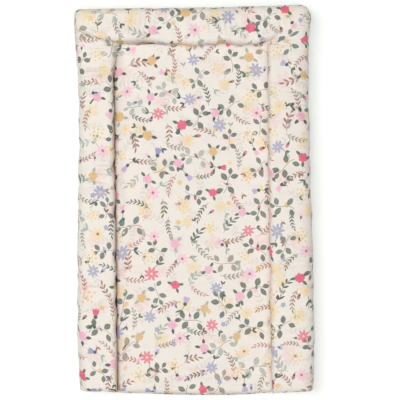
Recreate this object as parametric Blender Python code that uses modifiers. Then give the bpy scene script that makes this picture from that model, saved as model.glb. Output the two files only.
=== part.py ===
# Padded baby changing mat with raised left, right and head sides. Metres, +Z up, head end at +Y,
# origin on the floor under the middle of the mat. A printed top cover and a plain base cover are
# sewn together round a flat pad and three rolls, and sewn down to each other along three seams.

import math
from collections import namedtuple

import bmesh
import bpy
from mathutils import Vector

MM = 0.001

# Overall sizes
overall_width = 470 * MM
overall_length = 780 * MM
bolster_height = 68 * MM
pad_height = 34 * MM

# Where the quilting seams run: from the outer side of each roll to its seam
side_bolster_width = 79 * MM
head_bolster_width = 74 * MM

# Cloth and thread
cover_thickness = 1.0 * MM
base_thickness = 1.0 * MM
thread_diameter = 0.9 * MM
clearance = 0.3 * MM

# Rolls: the height of their widest point, and the dip where two of them meet at a corner
bulge_height = 28 * MM
corner_crease_depth = 9 * MM
corner_radius = 16 * MM

# Edge seam: its height over the floor, how far it is drawn in, and the cloth turned inside it
edge_seam_height = 13 * MM
edge_seam_tuck = 3 * MM
seam_allowance = 6 * MM

# Quilting seams: the strip that the stitches press flat, and the channel under it
seam_land = 3 * MM
under_channel_depth = 2 * MM
under_channel_run = 4.5 * MM

# Foot edge: a flat lip, sewn shut last
lip_width = 7 * MM
lip_lift = 3 * MM
lip_stitch_inset = 3.5 * MM

# How far the base cover's rounded border reaches in, and how far up its turn lies
base_turn_run = 7 * MM
base_turn_lift = 3.5 * MM
base_border_run = 16 * MM

# How the pad's edges rise from their seams, and how the foot end rises from the lip
pad_rise_run = 3 * MM
pad_shoulder_run = 22 * MM
foot_rise_run = 4 * MM
foot_shoulder_run = 16 * MM
foot_crown_run = 40 * MM

# Forms without a length of their own
roll_boxiness_share = 0.75
roll_turn_shares = (0.0, 0.22, 0.42, 0.60, 0.78, 0.90)
pad_rise_share = 0.62
pad_shoulder_share = 0.93
pad_middle_share = 0.99
foot_rise_share = 0.55
foot_shoulder_share = 0.88
foot_parting_share = 2.0
crease_easing_shares = (0.25, 0.8, 1.0)
roll_shelf_share = 0.75
body_rows = 5
sharp_angle = math.radians(50)

half_width = overall_width / 2
half_length = overall_length / 2
side_seam = half_width - side_bolster_width
head_seam = half_length - head_bolster_width
seam_top = under_channel_depth + base_thickness + clearance + cover_thickness
lip_top = lip_lift + base_thickness + clearance + cover_thickness
edge_tuck_total = edge_seam_tuck + seam_allowance
fill_gap = cover_thickness + clearance
fill_floor = base_thickness + clearance
thread_lift = clearance + thread_diameter / 2
pad_foot = lip_width - half_length


def clear_scene():
    for old in list(bpy.data.objects):
        bpy.data.objects.remove(old)


def make_material(name, colour, roughness):
    material = bpy.data.materials.new(name)
    material.use_nodes = True
    shader = material.node_tree.nodes["Principled BSDF"]
    shader.inputs["Base Color"].default_value = (*colour, 1.0)
    shader.inputs["Roughness"].default_value = roughness
    shader.inputs["Metallic"].default_value = 0.0
    return material


def shade_round(piece):
    piece.data.shade_smooth()
    piece.data.set_sharp_from_angle(angle=sharp_angle)


def power(value, share):
    return math.copysign(abs(value) ** share, value)


# A roll's section, from its widest point over the crown to its seam: distance in from the outer
# side, and height
def roll_section(width):
    section = []
    for share in roll_turn_shares:
        turn = math.pi * share
        inwards = width / 2 * (1 - power(math.cos(turn), roll_boxiness_share))
        rise = power(math.sin(turn), roll_boxiness_share)
        section.append((inwards, bulge_height + (bolster_height - bulge_height) * rise))
    return section


# One line of a cover's grid. Columns run along the mat and rows across it. A line has its place,
# its kind, and two heights: inside the mat's body, and on a plain outer side that never turns down
# to a seam. It also has how far it swells outwards, the share of the full height reached there, and
# how much of the corner crease it takes.
Line = namedtuple("Line", "place kind body outer swell share crease", defaults=(0.0, 1.0, 0.0))


# The lines of a roll, from its widest point at an outer side to its seam
def roll_lines(side, width, kind):
    section = roll_section(width)
    lines = []
    for number, (inwards, height) in enumerate(section):
        swell = edge_seam_tuck + seam_land / 2 if number == 0 else 0.0
        outer = height if number < len(section) / 2 else bolster_height
        lines.append(Line(side - inwards - swell, kind, height, outer, swell))
    return lines


def edge_lines(side):
    return [
        Line(side - edge_tuck_total, "flange", edge_seam_height, edge_seam_height),
        Line(side - edge_seam_tuck, "edge", edge_seam_height, edge_seam_height),
    ]


def top_columns():
    rise = pad_height - seam_top
    edge = side_seam - seam_land / 2
    outside = edge_lines(half_width)
    outside += roll_lines(half_width, side_bolster_width - seam_land / 2, "roll")
    outside += [
        Line(side_seam + seam_land / 2, "seam", seam_top, bolster_height),
        Line(edge, "seam", seam_top, bolster_height),
        Line(edge - pad_rise_run, "pad", seam_top + rise * pad_rise_share, bolster_height),
        Line(edge - pad_shoulder_run, "pad", seam_top + rise * pad_shoulder_share, bolster_height),
        Line(edge / 2, "pad", seam_top + rise * pad_middle_share, bolster_height),
    ]
    left = [line._replace(place=-line.place, swell=-line.swell) for line in outside]
    return left + [Line(0.0, "pad", pad_height, bolster_height)] + outside[::-1]


# The foot rows: place, and the share of the full height that the cover has reached there
def foot_rows():
    return [
        (-half_length, 0.0),
        (pad_foot, 0.0),
        (pad_foot + foot_rise_run, foot_rise_share),
        (pad_foot + foot_shoulder_run, foot_shoulder_share),
        (pad_foot + foot_crown_run, 1.0),
    ]


def top_rows():
    full = (bolster_height, bolster_height, 0.0)
    rows = [Line(y, "foot", *full, share) for y, share in foot_rows()]
    pad_head = head_seam - seam_land / 2
    first, last = rows[-1].place, pad_head - pad_shoulder_run
    for number in range(1, body_rows):
        rows.append(Line(first + (last - first) * number / body_rows, "body", *full))
    rise = pad_height - seam_top
    shoulder, slope = (seam_top + rise * share for share in (pad_shoulder_share, pad_rise_share))
    far, near, whole = crease_easing_shares
    rows += [
        Line(last, "body", shoulder, bolster_height, crease=far),
        Line(pad_head - pad_rise_run, "body", slope, bolster_height, crease=near),
        Line(pad_head, "seam", seam_top, bolster_height, crease=whole),
        Line(head_seam + seam_land / 2, "seam", seam_top, bolster_height, crease=whole),
    ]
    roll = roll_lines(half_length, head_bolster_width - seam_land / 2, "head")[::-1]
    rows += [roll[0]._replace(crease=near), roll[1]._replace(crease=far)]
    return rows + roll[2:] + edge_lines(half_length)[::-1]


def top_height(column, row):
    crease = bolster_height - corner_crease_depth * row.crease
    if row.kind in ("foot", "body"):
        height = min(column.body, row.body) if column.kind == "pad" else min(column.body, crease)
        return lip_top + (height - lip_top) * row.share
    if column.kind in ("pad", "seam"):
        return row.body
    return min(column.outer, row.outer, crease)


# Draws the corners in to a rounded plan, without moving anything else
def rounded(x, y):
    inner_x, inner_y = half_width - corner_radius, half_length - corner_radius
    over_x, over_y = abs(x) - inner_x, abs(y) - inner_y
    if over_x <= 0 or over_y <= 0:
        return x, y
    across, along = over_x / corner_radius, over_y / corner_radius
    drawn_x = inner_x + over_x * math.sqrt(1 - along * along / 2)
    drawn_y = inner_y + over_y * math.sqrt(1 - across * across / 2)
    return math.copysign(drawn_x, x), math.copysign(drawn_y, y)


def held(value, low, high):
    return max(low, min(high, value))


# Turned-in cloth stops at the corners of its own inner edge, where its two sides meet
def in_plan(x, y, turned_in):
    if turned_in:
        x = held(x, edge_tuck_total - half_width, half_width - edge_tuck_total)
        y = min(y, half_length - edge_tuck_total)
    return rounded(x, y)


def top_point(column, row):
    sideways = 0.0 if row.kind in ("edge", "flange") else row.share
    endways = 0.0 if column.kind in ("edge", "flange") else 1.0
    x, y = column.place + column.swell * sideways, row.place + row.swell * endways
    plan = in_plan(x, y, "flange" in (column.kind, row.kind))
    return Vector((*plan, top_height(column, row)))


# The base cover's lines have only a place, a kind and a share of the full height
def base_columns():
    channel = seam_land / 2 + under_channel_run
    left = [
        (-half_width + edge_tuck_total, "flange"),
        (-half_width + edge_seam_tuck, "edge"),
        (-half_width + base_turn_run, "turn"),
        (-half_width + base_border_run, "flat"),
        (-side_seam - channel, "flat"),
        (-side_seam - seam_land / 2, "channel"),
        (-side_seam + seam_land / 2, "channel"),
        (-side_seam + channel, "flat"),
    ]
    return left + [(-x, kind) for x, kind in reversed(left)]


def base_rows():
    channel = seam_land / 2 + under_channel_run
    rows = [(y, "foot", share) for y, share in foot_rows()]
    rows += [
        (head_seam - channel, "flat", 1.0),
        (head_seam - seam_land / 2, "channel", 1.0),
        (head_seam + seam_land / 2, "channel", 1.0),
        (head_seam + channel, "flat", 1.0),
        (half_length - base_border_run, "flat", 1.0),
        (half_length - base_turn_run, "turn", 1.0),
        (half_length - edge_seam_tuck, "edge", 1.0),
        (half_length - edge_tuck_total, "flange", 1.0),
    ]
    return rows


# Where the two covers are sewn together their right sides face each other, and the base cover lies
# just under the top one. Near the foot edge neither is turned in, so their thickness parts them, and
# more so where they rise from the lip.
def base_border_height(share):
    above = lip_top + (edge_seam_height - lip_top) * share
    turned_in = share >= foot_shoulder_share
    eased = 1 + foot_parting_share * share
    between = 0.0 if turned_in else (cover_thickness + base_thickness) * eased
    return above - clearance - between


def base_point(column, row):
    x, kind = column
    y, stretch, share = row
    plan = in_plan(x, y, "flange" in (kind, stretch))
    if kind in ("flange", "edge") or stretch in ("flange", "edge"):
        return Vector((*plan, base_border_height(share)))
    over_side_seam = kind == "channel" and y < head_seam + seam_land
    over_head_seam = stretch == "channel" and abs(x) < side_seam + seam_land
    height = 0.0
    if over_side_seam or over_head_seam:
        height = under_channel_depth
    elif "turn" in (kind, stretch):
        height = base_turn_lift
    floor_share = min(1.0, share / foot_shoulder_share)
    return Vector((*plan, lip_lift + (height - lip_lift) * floor_share))


# A grid of cloth whose vertices take the places that point gives, right side out. The flange is
# cut away where the foot's lip takes its place.
def cloth_sheet(name, columns, rows, point, thickness, faces_down, material):
    bpy.ops.mesh.primitive_grid_add(
        x_subdivisions=len(columns) - 1, y_subdivisions=len(rows) - 1, size=overall_width
    )
    sheet = bpy.context.object
    sheet.name = name
    sheet.data.name = name
    for number, vertex in enumerate(sheet.data.vertices):
        vertex.co = point(columns[number % len(columns)], rows[number // len(columns)])
    mesh = bmesh.new()
    mesh.from_mesh(sheet.data)
    mesh.verts.ensure_lookup_table()
    last = len(columns) - 1
    lip_rows = len(foot_rows()) - 2
    turned_in = [
        mesh.verts[row * len(columns) + column] for row in range(lip_rows) for column in (0, last)
    ]
    bmesh.ops.delete(mesh, geom=turned_in, context="VERTS")
    bmesh.ops.remove_doubles(mesh, verts=mesh.verts, dist=clearance / 10)
    if faces_down:
        bmesh.ops.reverse_faces(mesh, faces=mesh.faces)
    mesh.to_mesh(sheet.data)
    mesh.free()
    shade_round(sheet)
    sheet.data.materials.append(material)
    wall = sheet.modifiers.new("Cloth thickness", "SOLIDIFY")
    wall.thickness = thickness
    wall.offset = -1.0
    return sheet


# The skin's points and normals, which the fillings follow on the inside
def skin_points(columns, rows):
    bpy.ops.mesh.primitive_grid_add(
        x_subdivisions=len(columns) - 1, y_subdivisions=len(rows) - 1, size=overall_width
    )
    skin = bpy.context.object
    for number, vertex in enumerate(skin.data.vertices):
        vertex.co = top_point(columns[number % len(columns)], rows[number // len(columns)])
    skin.data.update()
    inside = [vertex.co - vertex.normal * fill_gap for vertex in skin.data.vertices]
    bpy.data.objects.remove(skin)
    return inside


# One filling: the block of the skin between two columns and two rows, let down to the floor of the
# base cover. Its rings are (low x, high x, low y, high y, height).
def filling(name, inside, width, column_range, row_range, rings, material):
    across = column_range[1] - column_range[0]
    along = row_range[1] - row_range[0]
    bpy.ops.mesh.primitive_grid_add(x_subdivisions=across, y_subdivisions=along, size=overall_width)
    pad = bpy.context.object
    pad.name = name
    pad.data.name = name
    mesh = bmesh.new()
    mesh.from_mesh(pad.data)
    mesh.verts.ensure_lookup_table()
    for number, vertex in enumerate(mesh.verts):
        column = column_range[0] + number % (across + 1)
        row = row_range[0] + number // (across + 1)
        vertex.co = inside[row * width + column]
    for low_x, high_x, low_y, high_y, height in rings:
        border = [edge for edge in mesh.edges if edge.is_boundary]
        grown = bmesh.ops.extrude_edge_only(mesh, edges=border)["geom"]
        for vertex in [item for item in grown if isinstance(item, bmesh.types.BMVert)]:
            eased = vertex.co.z * roll_shelf_share + fill_floor * (1 - roll_shelf_share)
            low = fill_floor if height == fill_floor else min(height, eased)
            place = (held(vertex.co.x, low_x, high_x), held(vertex.co.y, low_y, high_y), low)
            vertex.co = Vector(place)
    bmesh.ops.contextual_create(mesh, geom=[edge for edge in mesh.edges if edge.is_boundary])
    bmesh.ops.remove_doubles(mesh, verts=mesh.verts, dist=clearance / 10)
    bmesh.ops.recalc_face_normals(mesh, faces=mesh.faces)
    mesh.to_mesh(pad.data)
    mesh.free()
    shade_round(pad)
    pad.data.materials.append(material)
    return pad


# A thread laid along the given points
def thread(name, points, material):
    data = bpy.data.curves.new(name, "CURVE")
    data.dimensions = "3D"
    data.bevel_depth = thread_diameter / 2
    data.bevel_resolution = 1
    data.use_fill_caps = True
    line = data.splines.new("POLY")
    line.points.add(len(points) - 1)
    for spot, place in zip(line.points, points):
        spot.co = (*place, 1.0)
    strand = bpy.data.objects.new(name, data)
    bpy.context.scene.collection.objects.link(strand)
    data.materials.append(material)
    return strand


def numbered(lines, kind):
    return [number for number, line in enumerate(lines) if line[1] == kind]


def make_fillings(columns, rows, foam, wadding):
    inside = skin_points(columns, rows)
    width = len(columns)
    rolls = numbered(columns, "roll")
    pads = numbered(columns, "pad")
    head = numbered(rows, "head")
    seams = numbered(rows, "seam")
    half_rolls = len(rolls) // 2
    first_row = len(foot_rows()) - 3
    last_row = seams[0] - 1
    shelf = edge_seam_height + cover_thickness + 2 * thread_lift + clearance
    shelf_inset = edge_tuck_total + fill_gap
    floor_inset = max(base_border_run, shelf_inset) + fill_gap
    channel = seam_land / 2 + under_channel_run + fill_gap
    wall = seam_land / 2 + fill_gap
    foot = pad_foot + foot_rise_run + fill_gap
    foot_floor = pad_foot + foot_shoulder_run + fill_gap
    foot_shelf = (foot + foot_floor) / 2
    made = []
    for side, name in ((-1, "left_bolster_roll"), (1, "right_bolster_roll")):
        rings = []
        steps = (
            (shelf_inset, wall, shelf, foot_shelf),
            (floor_inset, channel, fill_floor, foot_floor),
        )
        for outside, seam, height, low_y in steps:
            reach = sorted((side * (half_width - outside), side * (side_seam + seam)))
            rings.append((*reach, low_y, head_seam - seam, height))
        chosen = rolls[:half_rolls] if side < 0 else rolls[half_rolls:]
        span = (chosen[0], chosen[-1])
        made.append(filling(name, inside, width, span, (first_row, last_row), rings, foam))
    rings = []
    for outside, seam, height in ((shelf_inset, wall, shelf), (floor_inset, channel, fill_floor)):
        reach = half_width - outside
        rings.append((-reach, reach, head_seam + seam, half_length - outside, height))
    span = (rolls[0], rolls[-1])
    made.append(filling("head_bolster_roll", inside, width, span, (head[0], head[-1]), rings, foam))
    reach = side_seam - channel
    rings = [(-reach, reach, foot_floor, head_seam - channel, fill_floor)]
    span = (pads[0], pads[-1])
    made.append(filling("centre_pad", inside, width, span, (first_row, last_row), rings, wadding))
    return made


def surface_path(lines, rows, point, column_places, lift):
    return [point(lines[column], rows[row]) + Vector((0, 0, lift)) for column, row in column_places]


def middle_of(path_a, path_b):
    return [(a + b) / 2 for a, b in zip(path_a, path_b)]


# Needle threads lie on the top cover's seams and bobbin threads in the channels under the mat
def make_quilting_threads(columns, rows, low_columns, low_rows, cotton):
    made = []
    sides = ("left", numbered(columns, "seam")[:2], numbered(low_columns, "channel")[:2])
    others = ("right", numbered(columns, "seam")[2:], numbered(low_columns, "channel")[2:])
    lip_end = 1
    for side, above, below in (sides, others):
        last = numbered(rows, "body")[-1]
        paths = []
        for column in above:
            places = [(column, row) for row in range(lip_end, last + 1)]
            paths.append(surface_path(columns, rows, top_point, places, thread_lift))
        made.append(thread(side + "_seam_needle_thread", middle_of(*paths), cotton))
        last = numbered(low_rows, "flat")[0]
        paths = []
        for column in below:
            places = [(column, row) for row in range(lip_end, last + 1)]
            paths.append(surface_path(low_columns, low_rows, base_point, places, -thread_lift))
        made.append(thread(side + "_seam_bobbin_thread", middle_of(*paths), cotton))
    high = Vector((0, head_seam, seam_top + thread_lift))
    low = Vector((0, head_seam, under_channel_depth - thread_lift))
    reach = Vector((side_seam, 0, 0))
    made.append(thread("head_seam_needle_thread", [high - reach, high + reach], cotton))
    made.append(thread("head_seam_bobbin_thread", [low - reach, low + reach], cotton))
    return made


# The foot edge is sewn shut through both covers
def make_foot_threads(cotton):
    reach = Vector((half_width - corner_radius, 0, 0))
    high = Vector((0, lip_stitch_inset - half_length, lip_top + thread_lift))
    low = Vector((0, lip_stitch_inset - half_length, lip_lift - thread_lift))
    return [
        thread("foot_seam_needle_thread", [high - reach, high + reach], cotton),
        thread("foot_seam_bobbin_thread", [low - reach, low + reach], cotton),
    ]


# The edge seam is sewn inside out, so its thread lies inside, along the turned-in cloth
def make_edge_thread(columns, rows, cotton):
    first = len(foot_rows()) - 1
    last_column, last_row = len(columns) - 1, len(rows) - 1
    spots = [((0, row), (1, row)) for row in range(first, last_row - 1)]
    spots.append(((0, last_row), (1, last_row - 1)))
    inner = range(2, last_column - 1)
    spots += [((column, last_row), (column, last_row - 1)) for column in inner]
    spots.append(((last_column, last_row), (last_column - 1, last_row - 1)))
    right = [((last_column, row), (last_column - 1, row)) for row in range(first, last_row - 1)]
    spots += reversed(right)
    lift = cover_thickness + thread_lift
    paths = [surface_path(columns, rows, top_point, ends, lift) for ends in zip(*spots)]
    return thread("edge_seam_thread", middle_of(*paths), cotton)


def gather(name, objects):
    group = bpy.data.collections.new(name)
    bpy.context.scene.collection.children.link(group)
    for item in objects:
        for old in list(item.users_collection):
            old.objects.unlink(item)
        group.objects.link(item)


def main():
    clear_scene()
    printed = make_material("printed_cloth", (0.88, 0.80, 0.73), 0.45)
    plain = make_material("plain_cloth", (0.86, 0.83, 0.78), 0.50)
    foam = make_material("foam", (0.90, 0.88, 0.82), 0.90)
    wadding = make_material("wadding", (0.92, 0.92, 0.90), 0.95)
    cotton = make_material("thread", (0.85, 0.78, 0.70), 0.70)
    columns, rows = top_columns(), top_rows()
    low_columns, low_rows = base_columns(), base_rows()
    made = [
        cloth_sheet("top_cover", columns, rows, top_point, cover_thickness, False, printed),
        cloth_sheet("base_cover", low_columns, low_rows, base_point, base_thickness, True, plain),
    ]
    made += make_fillings(columns, rows, foam, wadding)
    made += make_quilting_threads(columns, rows, low_columns, low_rows, cotton)
    made += make_foot_threads(cotton)
    made.append(make_edge_thread(columns, rows, cotton))
    gather("changing_mat", made)


main()
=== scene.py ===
# A padded baby changing mat: a printed cover over a flat pad and three raised rolls, sewn down
# along three seams. Metres, +Z up, head end at +Y, the floor at Z = 0.
import math

import bmesh
import bpy
import numpy as np
from mathutils import Matrix, Vector


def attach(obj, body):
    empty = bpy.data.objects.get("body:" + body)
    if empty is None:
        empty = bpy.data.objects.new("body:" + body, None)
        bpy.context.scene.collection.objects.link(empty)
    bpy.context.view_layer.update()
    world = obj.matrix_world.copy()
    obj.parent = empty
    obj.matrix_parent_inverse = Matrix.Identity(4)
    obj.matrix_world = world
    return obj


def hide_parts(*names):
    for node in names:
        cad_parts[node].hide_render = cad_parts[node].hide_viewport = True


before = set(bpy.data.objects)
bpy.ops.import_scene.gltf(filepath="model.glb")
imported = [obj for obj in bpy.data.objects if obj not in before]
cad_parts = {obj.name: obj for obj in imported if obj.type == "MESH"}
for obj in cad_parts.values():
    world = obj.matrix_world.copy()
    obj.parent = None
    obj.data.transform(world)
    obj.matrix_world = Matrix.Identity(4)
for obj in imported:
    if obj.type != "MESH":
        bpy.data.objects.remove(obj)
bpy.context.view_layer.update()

bpy.ops.object.select_all(action="DESELECT")

mm = 0.001

matShape = dict(
    width=470 * mm,
    length=780 * mm,
    rollHeight=65 * mm,  # a little under the finished height, because the cloth puffs up
    padHeight=39 * mm,
    bulgeHeight=28 * mm,  # the widest point of a roll
    sideSeam=156 * mm,  # from the middle of the mat
    headSeam=316 * mm,
    seamLand=1.8 * mm,  # the strip pressed flat by the stitches
    landHeight=4.3 * mm,
    edgeHeight=13 * mm,
    edgeTuck=3 * mm,
    turnedIn=6 * mm,
    lipWidth=3.4 * mm,  # the flat border at the foot, where both covers are sewn together
    lipHeight=5.3 * mm,
    footRound=15 * mm,  # how far in the foot end takes to reach its full height
    footBoxiness=0.62,
    rollBoxiness=0.54,
    headBoxiness=0.37,
    innerBoxiness=0.22,  # a roll's shoulder over its seam is squarer
    padRise=0.7 * mm,  # how far in the pad takes to rise from its seam
    padSwell=0.035,  # how much higher the pad is beside a seam, as a share of its height
    padSwellWidth=9 * mm,
    padLean=3.0 * mm,  # how far the pad's edge stands out over its seam
    padPillow=3.2 * mm,  # how far the pad swells up beside the left seam
    cornerRadius=14 * mm,
    headRightRadius=24 * mm,
    footRightRadius=9 * mm,
)

# How far the real outline stands out from the plain rectangle, as (place along the side, offset)
# in mm
outlineDrift = dict(
    left=[(-390, -3), (-350, -2), (-290, 0), (-235, 0), (-150, -1), (-60, -2.5), (40, -5),
          (110, -7), (200, -7.5), (250, -6.5), (285, -3.5), (320, -1), (350, 0), (390, 1)],
    right=[(-390, 2), (-340, 4), (-270, 5), (-160, 4.5), (-60, 3), (20, 1), (130, 0), (220, -1),
           (270, 0), (310, 1), (340, 3), (362, 6), (390, 3)],
    head=[(-235, -6.3), (-150, -5.4), (0, -5.5), (80, -5.2), (150, -3.6), (235, -1.5)],
    foot=[(-235, -2), (-205, -2.6), (-185, -2.8), (-150, 2), (-100, 4.2), (-50, 6.8), (30, 9),
          (95, 8.4), (155, 5), (190, 3.2), (235, 3.4)],
)

# How far each side seam runs to the right of its place in the plain rectangle, in mm
seamShift = dict(left=-0.3, right=2.5)

# How far each roll leans over its seam, as (place along the seam, lean), all in mm
seamLean = dict(
    left=[(-390, 0.6), (-330, 0.6), (-200, 0.6), (0, 0.6), (200, 0.6), (262, 1.8), (290, 6), (325, 6)],
    right=[(-390, 6), (-300, 6.8), (0, 7.6), (200, 7.2), (245, 7), (265, 7), (325, 6.4)],
    head=[(-160, 7.4), (-75, 7.4), (-50, 7.2), (0, 7), (100, 7), (125, 7.4), (160, 7.4)],
)


# A smooth curve through a list of (place, value) points
def through(points, places):
    x, y = np.array(points, float).T
    slope = np.gradient(y, x)
    places = np.clip(places, x[0], x[-1])
    cell = np.clip(np.searchsorted(x, places) - 1, 0, len(x) - 2)
    step = x[cell + 1] - x[cell]
    t = (places - x[cell]) / step
    rise = (1 + 2 * t) * (1 - t) ** 2 * y[cell] + t * t * (3 - 2 * t) * y[cell + 1]
    return rise + step * (t * (1 - t) ** 2 * slope[cell] - t * t * (1 - t) * slope[cell + 1])


def smooth(low, high, value):
    t = np.clip((value - low) / (high - low), 0, 1)
    return t * t * (3 - 2 * t)


# Moves points of the plain rectangle onto the real, slightly uneven outline
def onOutline(x, y):
    w, l = matShape["width"] / 2, matShape["length"] / 2
    rightRadius = np.where(y > 0, matShape["headRightRadius"], matShape["footRightRadius"])
    r = np.where(x > 0, rightRadius, matShape["cornerRadius"])
    overX, overY = np.abs(x) - (w - r), np.abs(y) - (l - r)
    corner = (overX > 0) & (overY > 0)
    a, b = np.clip(overX / r, 0, 1), np.clip(overY / r, 0, 1)
    x = np.where(corner, np.sign(x) * (w - r + overX * np.sqrt(1 - b * b / 2)), x)
    y = np.where(corner, np.sign(y) * (l - r + overY * np.sqrt(1 - a * a / 2)), y)
    nearSide = smooth(0.68, 1.0, np.abs(x) / w)
    nearHead, nearFoot = smooth(0.8, 1.0, y / l), smooth(0.9, 1.0, -y / l)
    left = -through(outlineDrift["left"], y / mm)
    right = through(outlineDrift["right"], y / mm)
    head = through(outlineDrift["head"], x / mm)
    foot = -through(outlineDrift["foot"], x / mm)
    seam = smooth(0.45, 0.66, np.abs(x) / w) * (1 - nearSide)
    moveX = np.where(x < 0, left * nearSide + seamShift["left"] * seam,
                     right * nearSide + seamShift["right"] * seam)
    moveY = np.where(y > 0, head * nearHead, foot * nearFoot)
    return x + moveX * mm, y + moveY * mm


# The printed cover, cut from one sheet
printedCover = dict(
    weave=4.5 * mm,  # spacing of the cover's grid
    nearSeam=1.75 * mm,
    footWeave=3 * mm,
    thickness=0.9 * mm,
    flat=(0.705, 0.875),
    frames=15,
    pressure=0.9,
    stretch=28,
    bending=3.5,
    ease=-0.010,  # the cut is this share larger than what it covers, so it puckers
    hold=0.13,
    mostMoved=5 * mm,
)

# Creases too long and deep for the cloth's finish: points, width and depth in mm
longCreases = [
    dict(line=[(-150, 322), (-177, 323), (-193, 331), (-214, 343), (-236, 346)], width=4.0, depth=3.2),
    dict(line=[(-152, 330), (-180, 338), (-212, 353), (-232, 362)], width=5.0, depth=1.5),
    dict(line=[(160, 318), (182, 322), (206, 320)], width=4.5, depth=1.8),
    dict(line=[(158, 326), (176, 336), (196, 340)], width=5.0, depth=1.4),
    dict(line=[(30, -160), (70, -196), (96, -240)], width=13.0, depth=1.6),
    dict(line=[(60, -240), (104, -282), (140, -300)], width=14.0, depth=1.7),
    dict(line=[(-120, -292), (-60, -318), (10, -326)], width=13.0, depth=1.3),
    dict(line=[(-110, 60), (-60, 84), (-10, 86)], width=15.0, depth=1.1),
    dict(line=[(20, 176), (70, 150), (110, 144)], width=14.0, depth=1.1),
    dict(line=[(-20, -372), (50, -375), (110, -376), (148, -380)], width=4.0, depth=1.1),
]


# The cover's section from the edge seam over a roll, down to its seam and across to the middle of
# the mat: distance in from the outer side, height, and height where no seam draws it down
def section(rollWidth, toMiddle, boxiness):
    s = matShape
    power = lambda value, sharp: np.sign(value) * np.abs(value) ** sharp
    swing = np.linspace(0, np.pi / 2, 12)
    side = [(s["edgeTuck"] * (1 - math.sin(a)),
             s["edgeHeight"] + (s["bulgeHeight"] - s["edgeHeight"]) * (1 - math.cos(a)))
            for a in swing]
    turn = np.linspace(0, 0.985, 160)[1:] * np.pi
    sharp = boxiness + (s["innerBoxiness"] - boxiness) * smooth(0.4, 0.6, turn / np.pi)
    inward = rollWidth / 2 * (1 - power(np.cos(turn), sharp))
    height = s["bulgeHeight"] + (s["rollHeight"] - s["bulgeHeight"]) * power(np.sin(turn), sharp)
    drop = np.linspace(0, 1, 40)[1:]
    wallX = inward[-1] + (rollWidth - inward[-1]) * drop ** 3
    wallZ = height[-1] + (s["landHeight"] - height[-1]) * drop
    away = np.linspace(0, 1, 400)[1:] ** 2 * (toMiddle - rollWidth - s["seamLand"])
    swell = np.exp(-((away - s["padSwellWidth"]) / s["padSwellWidth"]) ** 2)
    rise = 1 - np.exp(-away / s["padRise"]) + s["padSwell"] * swell
    x = np.concatenate([[p[0] for p in side], inward, wallX, [rollWidth + s["seamLand"]],
                        rollWidth + s["seamLand"] + away])
    z = np.concatenate([[p[1] for p in side], height, wallZ, [s["landHeight"]],
                        s["landHeight"] + (s["padHeight"] - s["landHeight"]) * rise])
    crown = x > rollWidth * 0.4
    outer = np.where(crown, s["rollHeight"], z)
    return x, z, outer


# Picks points along a section, closer together near its seam
def evenly(x, z, outer, seamAt, step, fine):
    arc = np.concatenate([[0], np.cumsum(np.hypot(np.diff(x), np.diff(z)))])
    seamArc = np.interp(seamAt, x[14:], arc[14:])
    density = 1 / step + (1 / fine - 1 / step) * np.exp(-((arc - seamArc) / (26 * mm)) ** 2)
    count = np.concatenate([[0], np.cumsum((density[1:] + density[:-1]) / 2 * np.diff(arc))])
    number = int(round(count[-1]))
    picks = np.interp(np.linspace(0, count[-1], number + 1), count, arc)
    low, high = seamArc - matShape["seamLand"] / 2, seamArc + matShape["seamLand"] / 2
    for edge in (low, high):  # a grid line along either side of the stitches
        picks[np.abs(picks - edge).argmin()] = edge
    onLand = (picks > low - 1e-6) & (picks < high + 1e-6)
    return [np.interp(picks, arc, values) for values in (x, z, outer)] + [onLand, picks]


# How high the foot end stands, as a share of its full height, at a distance in from its border
def footShare(inset):
    sharp = matShape["footBoxiness"]
    t = np.clip(1 - inset / matShape["footRound"], 0, 1)
    return np.where(inset > 0, (1 - t ** (2 / sharp)) ** (sharp / 2), 0.0)


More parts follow.
